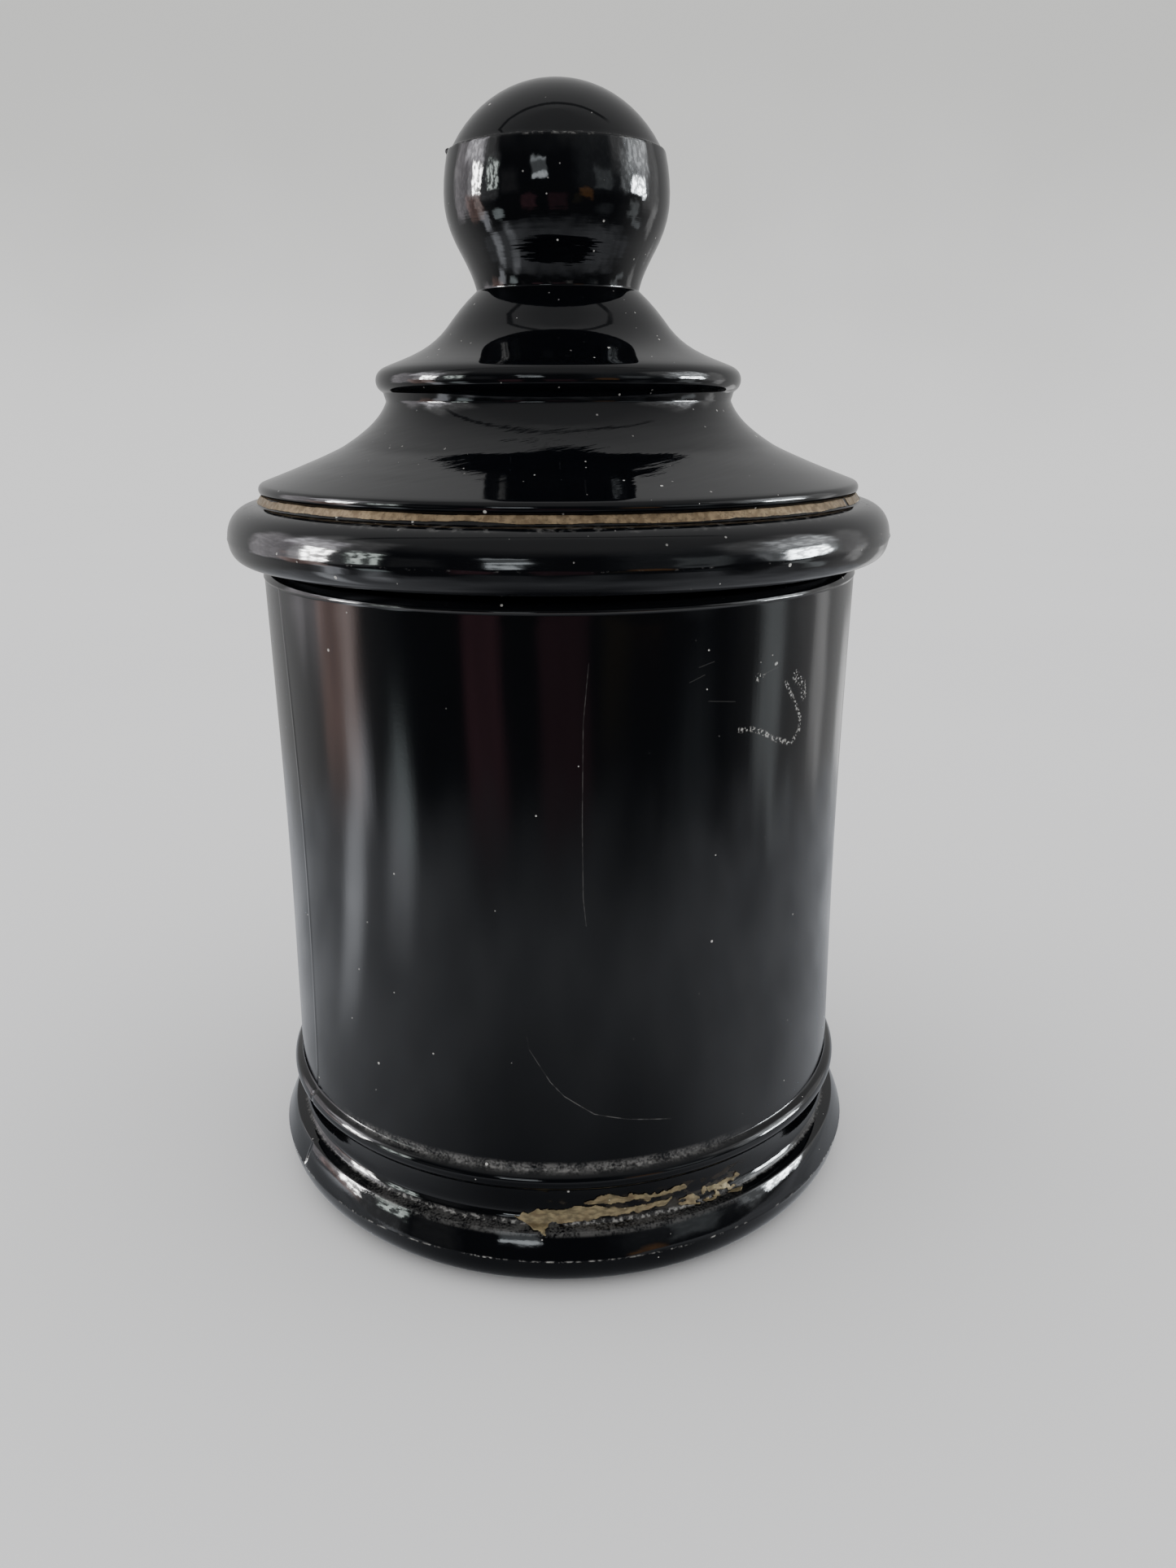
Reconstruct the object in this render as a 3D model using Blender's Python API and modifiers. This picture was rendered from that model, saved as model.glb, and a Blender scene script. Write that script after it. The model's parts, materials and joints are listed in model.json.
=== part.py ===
"""A black glass disinfectant jar: turned body, lift-off lid with a ball knob, gilt line, torn label and an
instrument insert that lifts out. Metres, +Z up, origin at the middle of the foot on the table."""

import math

import bmesh
import bpy
from mathutils import Vector

COLLECTION = "disinfectant_jar"

# Driving dimensions
GAP = 0.0003  # clearance between pieces that touch
TURN_STEPS = 48  # facets round every large turned piece

FOOT_RADIUS = 0.06005
FOOT_PARTING_Z = 0.0074
CREASE, FOOT_LEDGE = (0.0561, 0.0123), (0.0579, 0.0121)  # the valley above the foot, and the ledge beyond it
BAND_RADIUS, BAND_Z = 0.0549, 0.0158  # the band's narrowest line
FOOT_BEAD_RADIUS = 0.0019
FOOT_BEAD_CENTRE = (0.0558, 0.0216)
BODY_RADIUS, WAIST_RADIUS = 0.0560, 0.0555
BODY_BOTTOM_Z, BODY_TOP_Z = 0.0237, 0.1218
MOUTH_RADIUS = 0.0540  # where the rounded top of the wall meets the flat rim
SEAT_Z = 0.1240  # the jar's rim, which the lid rests on
JAR_INNER_RADIUS, JAR_FLOOR_Z, JAR_FLOOR_FILLET = 0.0510, 0.0090, 0.0070
STAND_RADIUS_IN, STAND_RADIUS_OUT, PUSH_UP = 0.0460, 0.0540, 0.0030

RIM_RADIUS, RIM_PARTING_Z = 0.0620, 0.1289
RIM_BOTTOM_RADIUS = 0.0581
LEDGE_IN, LEDGE_OUT = (0.0549, 0.1363), (0.0560, 0.1346)  # the sloping ledge that holds the gilt line
GILT_THICKNESS = 0.0004
LIP_CENTRE, LIP_RADIUS = (0.0548, 0.13735), 0.0011
DOME_SHOULDER = (0.0398, 0.1448)
GROOVE = (0.03205, 0.1524)
MID_BEAD_CENTRE, MID_BEAD_RADIUS = (0.0316, 0.15595), 0.0022
NECK_RADIUS, NECK_Z = 0.0148, 0.1714
FLARE_MIDDLE, FLARE_END = (0.0199, 0.1659), (0.0313, 0.1587)
KNOB_RADIUS, KNOB_Z = 0.0202, 0.1870
STEP_RADIUS = 0.0193
CAP_RADIUS, CAP_CENTRE_Z, CAP_EDGE_RADIUS = 0.0210, 0.18485, 0.01875
FLANGE_OUTER_RADIUS, FLANGE_INNER_RADIUS, FLANGE_BOTTOM_Z = 0.0502, 0.0462, 0.1170
LID_HOLLOW_TOP_Z = 0.1630

LABEL_THICKNESS = 0.0004

FOOT_PAD_RADIUS, FOOT_PAD_HEIGHT = 0.0040, 0.0042
FOOT_STEM_RADIUS, FOOT_HEAD_RADIUS, FOOT_HEAD_HEIGHT = 0.0017, 0.0030, 0.0008
FOOT_CIRCLE_RADIUS = 0.0400
TRAY_RADIUS, TRAY_THICKNESS, TRAY_SKIRT = 0.0465, 0.0012, 0.0035
DRAIN_RADIUS = 0.0035
DRAIN_RINGS = ((0.0310, 12), (0.0170, 6))  # circle radius and number of drain holes
ROD_RADIUS = 0.0020
LOOP_RADIUS, LOOP_CENTRE_Z = 0.0110, 0.1000
WASHER_RADIUS, WASHER_THICKNESS = 0.0050, 0.0008
NUT_RADIUS, NUT_HEIGHT, THIN_NUT_HEIGHT = 0.0040, 0.0032, 0.0024

# Heights that follow from them
FEET_BOTTOM_Z = JAR_FLOOR_Z + GAP
TRAY_BOTTOM_Z = FEET_BOTTOM_Z + FOOT_PAD_HEIGHT + GAP
TRAY_TOP_Z = TRAY_BOTTOM_Z + TRAY_THICKNESS

# Each material: colour, roughness, metallic
BLACK_GLASS = ("black_glass", (0.006, 0.006, 0.008), 0.06, 0.0)
GOLD_PAINT = ("gold_paint", (0.42, 0.31, 0.16), 0.45, 0.6)
GOLD_FOIL = ("gold_foil", (0.38, 0.29, 0.14), 0.40, 0.7)
STEEL = ("stainless_steel", (0.62, 0.62, 0.63), 0.25, 1.0)
PLASTIC = ("foot_plastic", (0.08, 0.08, 0.09), 0.50, 0.0)

# Outlines of the two label pieces, seen from the front: x and z in millimetres
LABEL_OUTLINE = (
    (-9.2, 13.2), (-7.4, 14.0), (-4.9, 14.4), (-0.5, 14.8), (3.2, 16.1), (7.6, 17.1), (12.0, 16.7),
    (15.8, 15.7), (21.2, 16.5), (21.8, 15.3), (19.0, 14.5), (17.3, 13.1), (9.8, 13.1), (2.4, 13.1),
    (0.0, 12.7), (-2.4, 12.6), (-3.2, 11.8), (-6.2, 11.8), (-7.0, 12.6),
)
FLAKE_OUTLINE = (
    (22.6, 12.9), (23.6, 13.8), (26.7, 14.5), (30.6, 15.1), (31.5, 14.1), (30.6, 13.1), (33.0, 12.3),
    (32.3, 11.9), (28.3, 12.0), (24.0, 11.9),
)


# Outlines in the (radius, height) plane

def bezier(start, pull_1, pull_2, end, steps):
    """The points of a cubic curve, leaving out its start."""
    corners = [Vector(p) for p in (start, pull_1, pull_2, end)]
    points = []
    for step in range(1, steps + 1):
        t = step / steps
        weights = ((1 - t) ** 3, 3 * t * (1 - t) ** 2, 3 * t * t * (1 - t), t**3)
        points.append(tuple(sum((w * c for w, c in zip(weights, corners)), Vector((0, 0)))))
    return points


def arc(centre, radius, first_deg, last_deg, steps):
    """Points of an arc, both ends included; 0 degrees points outwards and 90 up."""
    points = []
    for step in range(steps + 1):
        angle = math.radians(first_deg + (last_deg - first_deg) * step / steps)
        points.append((centre[0] + radius * math.cos(angle), centre[1] + radius * math.sin(angle)))
    return points


def offset(points, distance):
    """The same open outline moved to its left-hand side, which is outwards where it runs downwards."""
    moved = []
    for i, point in enumerate(points):
        before, after = Vector(points[max(i - 1, 0)]), Vector(points[min(i + 1, len(points) - 1)])
        along = (after - before).normalized()
        moved.append((point[0] - along.y * distance, point[1] + along.x * distance))
    return moved


def knob_outline():
    """From the top of the ball knob to its neck, with the moulding step where its cap meets its body."""
    edge_deg = math.degrees(math.acos(CAP_EDGE_RADIUS / CAP_RADIUS))
    points = arc((0, CAP_CENTRE_Z), CAP_RADIUS, 90, edge_deg, 7)
    points[0] = (0, CAP_CENTRE_Z + CAP_RADIUS)
    step = (STEP_RADIUS, points[-1][1] - 0.0001)
    points.append(step)
    points += bezier(step, (0.0199, 0.1919), (KNOB_RADIUS, 0.1894), (KNOB_RADIUS, KNOB_Z), 3)
    return points + bezier(points[-1], (KNOB_RADIUS, 0.1815), (0.0163, 0.1765), (NECK_RADIUS, NECK_Z), 7)


def dome_outline():
    """From the neck down the upper flare, the mid bead, the groove and the lower dome to its lip."""
    points = bezier((NECK_RADIUS, NECK_Z), (0.01675, 0.16975), (0.0184, 0.1679), FLARE_MIDDLE, 4)
    points += bezier(FLARE_MIDDLE, (0.0232, 0.1615), (0.0271, 0.1603), FLARE_END, 6)
    bead = arc(MID_BEAD_CENTRE, MID_BEAD_RADIUS, 0, -65, 4)
    points += bezier(FLARE_END, (0.0325, 0.15825), (bead[0][0], 0.1576), bead[0], 3)
    points += bead[1:]
    points.append(GROOVE)
    lip = arc(LIP_CENTRE, LIP_RADIUS, 70, -60, 4)
    points += bezier(GROOVE, (0.03335, 0.14905), (0.0368, 0.1467), DOME_SHOULDER, 5)
    points += bezier(DOME_SHOULDER, (0.0415, 0.1437), (0.0486, 0.1408), lip[0], 4)
    return points + lip[1:]


def rim_outline():
    """The sloping ledge and the rounded rim, down to the lid's underside."""
    parting = (RIM_RADIUS, RIM_PARTING_Z)
    points = [LEDGE_IN, LEDGE_OUT, (LEDGE_OUT[0] + 0.0007, LEDGE_OUT[1] + 0.0002)]
    points += bezier(points[-1], (0.0604, 0.1346), (0.0620, 0.1318), parting, 5)
    underside = (RIM_BOTTOM_RADIUS, SEAT_Z + GAP)
    points += bezier(parting, (0.0618, 0.1262), (0.0608, 0.1247), underside, 5)
    return points


def lid_inside():
    """The locating flange and the hollow under the dome, up to the axis."""
    return [
        (FLANGE_OUTER_RADIUS, SEAT_Z + GAP),
        (FLANGE_OUTER_RADIUS, FLANGE_BOTTOM_Z + 0.0005),
        (FLANGE_OUTER_RADIUS - 0.0005, FLANGE_BOTTOM_Z),
        (FLANGE_INNER_RADIUS, FLANGE_BOTTOM_Z),
        (FLANGE_INNER_RADIUS, 0.1330),
        (0.0430, 0.1373),
        (0.0340, 0.1420),
        (0.0290, 0.1470),
        (0.0278, 0.1530),
        (0.0200, 0.1580),
        (0.0110, 0.1620),
        (0, LID_HOLLOW_TOP_Z),
    ]


def jar_inside():
    """From the middle of the floor out to the wall and up to the jar's mouth."""
    fillet_centre = (JAR_INNER_RADIUS - JAR_FLOOR_FILLET, JAR_FLOOR_Z + JAR_FLOOR_FILLET)
    points = [(0, JAR_FLOOR_Z)]
    points += arc(fillet_centre, JAR_FLOOR_FILLET, -90, 0, 3)
    points.append((JAR_INNER_RADIUS, SEAT_Z - 0.0008))
    points.append((JAR_INNER_RADIUS + 0.0008, SEAT_Z))
    return points


def wall_outline():
    """The rounded top edge and the slightly waisted wall, down to the foot bead."""
    points = [(MOUTH_RADIUS, SEAT_Z)]
    points += bezier(points[0], (0.0550, 0.1239), (0.0559, 0.1230), (BODY_RADIUS + 0.0001, BODY_TOP_Z), 3)
    middle, half = (BODY_TOP_Z + BODY_BOTTOM_Z) / 2, (BODY_TOP_Z - BODY_BOTTOM_Z) / 2
    for step in range(7):
        share = 1 - step / 3
        radius = WAIST_RADIUS + (BODY_RADIUS - WAIST_RADIUS) * share**2
        points.append((radius, middle + share * half - (0.0002 if step == 0 else 0)))
    return points


def band_outline():
    """The band under the foot bead, and the cove that carries it out to the crease."""
    top, middle = (0.05535, 0.0192), (BAND_RADIUS, BAND_Z)
    points = [top] + bezier(top, (BAND_RADIUS, 0.0180), (BAND_RADIUS, 0.0168), middle, 2)
    return points + bezier(middle, (BAND_RADIUS, 0.0142), (0.0553, 0.0130), CREASE, 4)


def foot_shoulder():
    """The nearly flat ledge outside the crease, and the shoulder down to the foot's widest line."""
    parting = (FOOT_RADIUS, FOOT_PARTING_Z)
    return [FOOT_LEDGE] + bezier(FOOT_LEDGE, (0.05935, 0.01145), (0.0600, 0.0099), parting, 4)


def foot_outline():
    """The foot bead, the band and the rounded foot, down to the flat ring that the jar stands on."""
    points = arc(FOOT_BEAD_CENTRE, FOOT_BEAD_RADIUS, 70, -80, 6)
    points += band_outline() + foot_shoulder()
    points += bezier(points[-1], (0.0600, 0.0046), (0.0586, 0.0012), (STAND_RADIUS_OUT, 0), 5)
    points += [(STAND_RADIUS_IN, 0), (STAND_RADIUS_IN - PUSH_UP, PUSH_UP * 0.8), (0, PUSH_UP)]
    return points


def label_strip():
    """The closed outline of a thin skin that lies on the band, through the crease and over the ledge."""
    path = band_outline()[1:] + foot_shoulder()[:2]
    return offset(path, GAP + LABEL_THICKNESS) + offset(path, GAP)[::-1]


# Building

def clear_scene():
    for obj in list(bpy.data.objects):
        bpy.data.objects.remove(obj)
    for collection in list(bpy.data.collections):
        bpy.data.collections.remove(collection)


def new_collection(name):
    collection = bpy.data.collections.new(name)
    bpy.context.scene.collection.children.link(collection)
    return collection


def material(spec):
    name, colour, roughness, metallic = spec
    made = bpy.data.materials.get(name)
    if made is None:
        made = bpy.data.materials.new(name)
        made.use_nodes = True
        shader = made.node_tree.nodes["Principled BSDF"]
        shader.inputs["Base Color"].default_value = (*colour, 1)
        shader.inputs["Roughness"].default_value = roughness
        shader.inputs["Metallic"].default_value = metallic
    return made


def new_part(name, mesh, spec):
    """A named object in the jar's collection, with its material."""
    obj = bpy.data.objects.new(name, mesh)
    mesh.materials.append(material(spec))
    bpy.data.collections[COLLECTION].objects.link(obj)
    return obj


def turned_mesh(name, outline, closed):
    """An outline in the XZ plane, ready for a Screw modifier."""
    count = len(outline)
    edges = [(i, (i + 1) % count) for i in range(count if closed else count - 1)]
    mesh = bpy.data.meshes.new(name)
    mesh.from_pydata([(r, 0, z) for r, z in outline], edges, [])
    return mesh


def add_screw(obj, steps):
    screw = obj.modifiers.new("Turn", "SCREW")
    screw.axis = "Z"
    screw.steps = screw.render_steps = steps
    screw.use_merge_vertices = True
    screw.merge_threshold = 0.00001
    screw.use_smooth_shade = True


def turned(name, outline, spec, steps=TURN_STEPS, closed=False):
    """A turned piece: an outline from axis to axis, or a closed one for a ring."""
    obj = new_part(name, turned_mesh(name, outline, closed), spec)
    add_screw(obj, steps)
    return obj


def prism_mesh(name, radius, low, high, sides, centre=(0, 0)):
    """An upright prism or cylinder between two heights."""
    mesh = bpy.data.meshes.new(name)
    shape = bmesh.new()
    bmesh.ops.create_cone(
        shape, cap_ends=True, segments=sides, radius1=radius, radius2=radius, depth=high - low
    )
    bmesh.ops.translate(shape, verts=shape.verts, vec=(*centre, (low + high) / 2))
    shape.to_mesh(mesh)
    shape.free()
    return mesh


def merged_mesh(name, meshes):
    """Several separate solids in one mesh."""
    shape = bmesh.new()
    for mesh in meshes:
        shape.from_mesh(mesh)
        bpy.data.meshes.remove(mesh)
    joined = bpy.data.meshes.new(name)
    shape.to_mesh(joined)
    shape.free()
    return joined


def new_cutter(name, mesh):
    obj = bpy.data.objects.new(name, mesh)
    obj.hide_render = True
    obj.display_type = "WIRE"
    bpy.data.collections["cutters"].objects.link(obj)
    return obj


def add_boolean(obj, cutter, operation="DIFFERENCE"):
    boolean = obj.modifiers.new(cutter.name, "BOOLEAN")
    boolean.operation = operation
    boolean.object = cutter


def plate_cutter(name, outline_mm, y, half_depth):
    """A flat outline, drawn in x and z in millimetres and extruded along Y, as a mesh."""
    curve = bpy.data.curves.new(name, "CURVE")
    curve.dimensions = "2D"
    curve.fill_mode = "BOTH"
    curve.extrude = half_depth
    spline = curve.splines.new("POLY")
    spline.points.add(len(outline_mm) - 1)
    for point, (x, z) in zip(spline.points, outline_mm):
        point.co = (x / 1000, z / 1000, 0, 1)
    spline.use_cyclic_u = True
    drawn = bpy.data.objects.new(name + "_outline", curve)
    drawn.location = (0, y, 0)
    drawn.rotation_euler = (math.radians(90), 0, 0)
    bpy.context.scene.collection.objects.link(drawn)
    graph = bpy.context.evaluated_depsgraph_get()
    mesh = bpy.data.meshes.new_from_object(drawn.evaluated_get(graph))
    shape = bmesh.new()
    shape.from_mesh(mesh)
    bmesh.ops.remove_doubles(shape, verts=shape.verts, dist=0.00001)
    shape.to_mesh(mesh)
    shape.free()
    cutter = new_cutter(name, mesh)
    cutter.matrix_world = drawn.matrix_world
    bpy.data.objects.remove(drawn)
    return cutter


# The pieces

def make_jar():
    turned("jar_body", jar_inside() + wall_outline() + foot_outline(), BLACK_GLASS)


def make_lid():
    turned("lid", knob_outline() + dome_outline() + rim_outline() + lid_inside(), BLACK_GLASS)


def make_gilt_line():
    """A thin ring lying on the ledge, clear of the lip above it."""
    top, bottom = Vector(LEDGE_IN), Vector(LEDGE_OUT)
    path = [tuple(top.lerp(bottom, share)) for share in (0.12, 0.80)]
    outline = offset(path, GAP + GILT_THICKNESS) + offset(path, GAP)[::-1]
    turned("gilt_line", outline, GOLD_PAINT, closed=True)


def make_label(name, outline_mm):
    """A torn piece of the label: the thin skin, kept only inside the torn outline."""
    piece = turned(name, label_strip(), GOLD_FOIL, closed=True)
    add_boolean(piece, plate_cutter(name + "_outline", outline_mm, -BAND_RADIUS, 0.02), "INTERSECT")


def foot_places():
    for i in range(3):
        angle = math.radians(90 + 120 * i)
        yield FOOT_CIRCLE_RADIUS * math.cos(angle), FOOT_CIRCLE_RADIUS * math.sin(angle)


def make_tray():
    """The perforated disc with its turned-down edge."""
    inner = TRAY_RADIUS - TRAY_THICKNESS
    outline = [
        (0, TRAY_TOP_Z),
        (TRAY_RADIUS - 0.0010, TRAY_TOP_Z),
        (TRAY_RADIUS, TRAY_TOP_Z - 0.0010),
        (TRAY_RADIUS, TRAY_TOP_Z - TRAY_SKIRT),
        (inner, TRAY_TOP_Z - TRAY_SKIRT),
        (inner, TRAY_BOTTOM_Z),
        (0, TRAY_BOTTOM_Z),
    ]
    tray = turned("insert_tray", outline, STEEL)
    low, high = TRAY_BOTTOM_Z - 0.002, TRAY_TOP_Z + 0.002
    holes = [prism_mesh("hole", ROD_RADIUS + GAP, low, high, 16)]
    holes += [prism_mesh("hole", FOOT_STEM_RADIUS + GAP, low, high, 12, place) for place in foot_places()]
    for circle, count in DRAIN_RINGS:
        for i in range(count):
            angle = 2 * math.pi * (i + 0.5) / count
            place = (circle * math.cos(angle), circle * math.sin(angle))
            holes.append(prism_mesh("hole", DRAIN_RADIUS, low, high, 12, place))
    add_boolean(tray, new_cutter("tray_holes", merged_mesh("tray_holes", holes)))


def make_feet():
    """Three button feet, each clipped through the tray by its stem."""
    pad_top = FEET_BOTTOM_Z + FOOT_PAD_HEIGHT
    head_bottom = TRAY_TOP_Z + GAP
    outline = [
        (0, head_bottom + FOOT_HEAD_HEIGHT),
        (FOOT_HEAD_RADIUS - 0.0006, head_bottom + FOOT_HEAD_HEIGHT),
        (FOOT_HEAD_RADIUS, head_bottom),
        (FOOT_STEM_RADIUS, head_bottom),
        (FOOT_STEM_RADIUS, pad_top),
        (FOOT_PAD_RADIUS, pad_top),
        (FOOT_PAD_RADIUS, FEET_BOTTOM_Z + 0.0008),
        (FOOT_PAD_RADIUS - 0.0008, FEET_BOTTOM_Z),
        (0, FEET_BOTTOM_Z),
    ]
    for i, (x, y) in enumerate(foot_places()):
        foot = turned("insert_foot_%d" % (i + 1), outline, PLASTIC, steps=16)
        foot.location = (x, y, 0)


def make_clamp(side, low, nut_height, nut_above):
    """A washer against the tray with a nut beyond it, both bored for the rod."""
    washer_low = low if nut_above else low + nut_height + GAP
    nut_low = low + WASHER_THICKNESS + GAP if nut_above else low
    bore = new_cutter(
        "bore_" + side, prism_mesh("bore", ROD_RADIUS + GAP, low - 0.002, low + nut_height + 0.004, 16)
    )
    washer_mesh = prism_mesh("washer", WASHER_RADIUS, washer_low, washer_low + WASHER_THICKNESS, 24)
    add_boolean(new_part("insert_washer_" + side, washer_mesh, STEEL), bore)
    nut_mesh = prism_mesh("nut", NUT_RADIUS, nut_low, nut_low + nut_height, 6)
    add_boolean(new_part("insert_nut_" + side, nut_mesh, STEEL), bore)


def make_clamps():
    make_clamp("upper", TRAY_TOP_Z + GAP, NUT_HEIGHT, nut_above=True)
    stack = THIN_NUT_HEIGHT + GAP + WASHER_THICKNESS
    make_clamp("lower", TRAY_BOTTOM_Z - GAP - stack, THIN_NUT_HEIGHT, nut_above=False)


def make_handle():
    """One bent wire: the central rod, a short sweep to one side and an eye that closes near the rod."""
    rod_bottom = JAR_FLOOR_Z + 0.0007
    first_deg, last_deg, loop_steps = -60, 248, 24
    centre = (0, LOOP_CENTRE_Z)
    eye = arc(centre, LOOP_RADIUS, first_deg, last_deg, loop_steps)
    sweep_start = (0, LOOP_CENTRE_Z - LOOP_RADIUS - 3 * ROD_RADIUS)
    before_eye = (eye[0][0] - 0.0026, eye[0][1] - 0.0015)
    path = [(0, rod_bottom), sweep_start]
    path += bezier(sweep_start, (0, sweep_start[1] + 0.0035), before_eye, eye[0], 4) + eye[1:]
    curve = bpy.data.curves.new("insert_handle", "CURVE")
    curve.dimensions = "3D"
    curve.bevel_depth = ROD_RADIUS
    curve.bevel_resolution = 2
    curve.use_fill_caps = True
    spline = curve.splines.new("POLY")
    spline.points.add(len(path) - 1)
    for point, (x, z) in zip(spline.points, path):
        point.co = (x, 0, z, 1)
    new_part("insert_handle", curve, STEEL)


def main():
    clear_scene()
    new_collection(COLLECTION)
    new_collection("cutters")
    make_jar()
    make_lid()
    make_gilt_line()
    make_label("label_remnant", LABEL_OUTLINE)
    make_label("label_flake", FLAKE_OUTLINE)
    make_tray()
    make_feet()
    make_clamps()
    make_handle()


main()
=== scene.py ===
"""The looks of the black glass disinfectant jar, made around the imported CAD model.

The glass is turned again with fine outlines, its moulding marks, waves and seams. The gilt line and the
torn label are thin skins with ragged edges, and the instrument insert keeps its CAD shape.

Lengths below are nominal millimetres, and MM turns them into the frame's metres. Azimuths are in degrees:
0 is the front (-Y) and 90 is +X.
"""

import json
import math

import bpy
import numpy as np
from mathutils import Matrix, Vector


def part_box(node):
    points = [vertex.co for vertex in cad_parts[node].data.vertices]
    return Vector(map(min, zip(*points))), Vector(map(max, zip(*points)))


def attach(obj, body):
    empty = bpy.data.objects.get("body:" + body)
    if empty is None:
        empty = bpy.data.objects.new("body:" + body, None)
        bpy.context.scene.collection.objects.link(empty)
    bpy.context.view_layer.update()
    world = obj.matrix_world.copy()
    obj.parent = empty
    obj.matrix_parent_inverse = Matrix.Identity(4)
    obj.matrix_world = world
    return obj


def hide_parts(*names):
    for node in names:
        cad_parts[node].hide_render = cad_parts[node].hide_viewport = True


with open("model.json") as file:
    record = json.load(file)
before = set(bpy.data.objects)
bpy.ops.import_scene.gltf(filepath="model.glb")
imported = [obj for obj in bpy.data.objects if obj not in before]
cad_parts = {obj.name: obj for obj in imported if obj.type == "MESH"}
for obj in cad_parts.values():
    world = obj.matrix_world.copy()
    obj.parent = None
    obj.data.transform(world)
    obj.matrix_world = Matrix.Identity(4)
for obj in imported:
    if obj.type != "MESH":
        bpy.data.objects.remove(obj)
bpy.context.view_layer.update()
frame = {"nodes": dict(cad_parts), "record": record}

# Sizes from the frame
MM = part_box("lid")[1].x / 62.0
KNOB_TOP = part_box("lid")[1].z / MM
LID_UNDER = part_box("gilt_line")[0].z / MM - 10.3
JAR_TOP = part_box("jar_body")[1].z / MM

# Lid
CAP_RADIUS, CAP_EDGE = 21.0, 18.75
STEP_RADIUS = 19.3
KNOB_RADIUS, KNOB_Z = 20.2, 187.0
KNOB_UNDERSIDE = (17.6, 178.0)
NECK = (14.8, 171.4)
FLARE_MIDDLE, FLARE_END = (19.9, 165.9), (31.3, 158.7)
BEAD_CENTRE, BEAD_RADIUS = (31.6, 155.95), 2.2
GROOVE, DOME_SHOULDER = (32.05, 152.4), (39.8, 144.8)
LIP_CENTRE, LIP_RADIUS = (54.8, 137.35), 1.1
LEDGE_END = (56.4, 134.9)
RIM_RADIUS, RIM_PARTING_Z = 62.0, 128.9

# Jar
WALL_TOP = 121.8
WALL_RADIUS, WAIST = 56.0, 0.5
WALL_BOTTOM = 23.7
FOOT_BEAD_CENTRE, FOOT_BEAD_RADIUS = (55.8, 21.6), 1.9
BAND = (54.9, 15.8)  # the narrowest line of the plain band
CREASE, LEDGE_EDGE = (56.1, 12.3), (57.9, 12.1)
FOOT_SHOULDER = (58.2, 11.8)
FOOT_RADIUS, FOOT_PARTING_Z = 60.05, 7.4
SEAM_AZIMUTH = -60.0

# The two label pieces: x as seen from the front, and the distance down the glass from the band's narrowest
# line. The crease is 3.8 down and the ledge's outer edge 5.7 down.
LABEL_OUTLINE = (
    (-9.4, 2.7), (-7.6, 1.9), (-5.0, 1.4), (-0.5, 1.1), (2.5, 0.4), (3.2, -0.3), (7.7, -1.3), (12.2, -0.9),
    (16.0, 0.1), (21.5, -0.8), (22.2, 0.5), (19.3, 1.4), (17.5, 2.9), (12.6, 2.9), (9.9, 3.0), (6.2, 3.1),
    (2.4, 3.2), (1.2, 3.7), (-2.4, 3.6), (-3.3, 4.6), (-3.9, 6.1), (-5.9, 5.6), (-7.2, 3.9),
)
FLAKE_OUTLINE = (
    (19.6, 2.9), (22.4, 1.8), (26.7, 1.1), (31.3, 0.5), (32.4, 1.7), (30.9, 2.9), (33.6, 4.6), (32.6, 5.2),
    (28.5, 4.2), (24.5, 4.6), (22.6, 3.8),
)

# Looks
DUST = (0.23, 0.225, 0.215, 1)
LINT = (0.55, 0.54, 0.51, 1)
GLASS = (0.0011, 0.0014, 0.0022, 1)
SOFT_LIGHT = 1.12
FLOOR_TONE = 1.10
WALL_TONE = (0.80, 0.80, 0.78, 1)

# Camera
CAMERA_PLACE = (0, -240.0, 153.2)
CAMERA_YAW, CAMERA_PITCH, CAMERA_ROLL = 1.252, 17.621, -0.160
SENSOR_WIDTH, LENS = 36.0, 28.02


# Outlines: arrays of (radius, height), running from the top outwards and down

def bezier(start, pull_1, pull_2, end, steps=40):
    t = np.linspace(0, 1, steps + 1)[:, None]
    corners = [np.array(p, float) for p in (start, pull_1, pull_2, end)]
    weights = ((1 - t) ** 3, 3 * t * (1 - t) ** 2, 3 * t * t * (1 - t), t**3)
    return sum(w * c for w, c in zip(weights, corners))


def arc(centre, radius, first_deg, last_deg, steps=24):
    angle = np.radians(np.linspace(first_deg, last_deg, steps + 1))
    return np.column_stack((centre[0] + radius * np.cos(angle), centre[1] + radius * np.sin(angle)))


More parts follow.
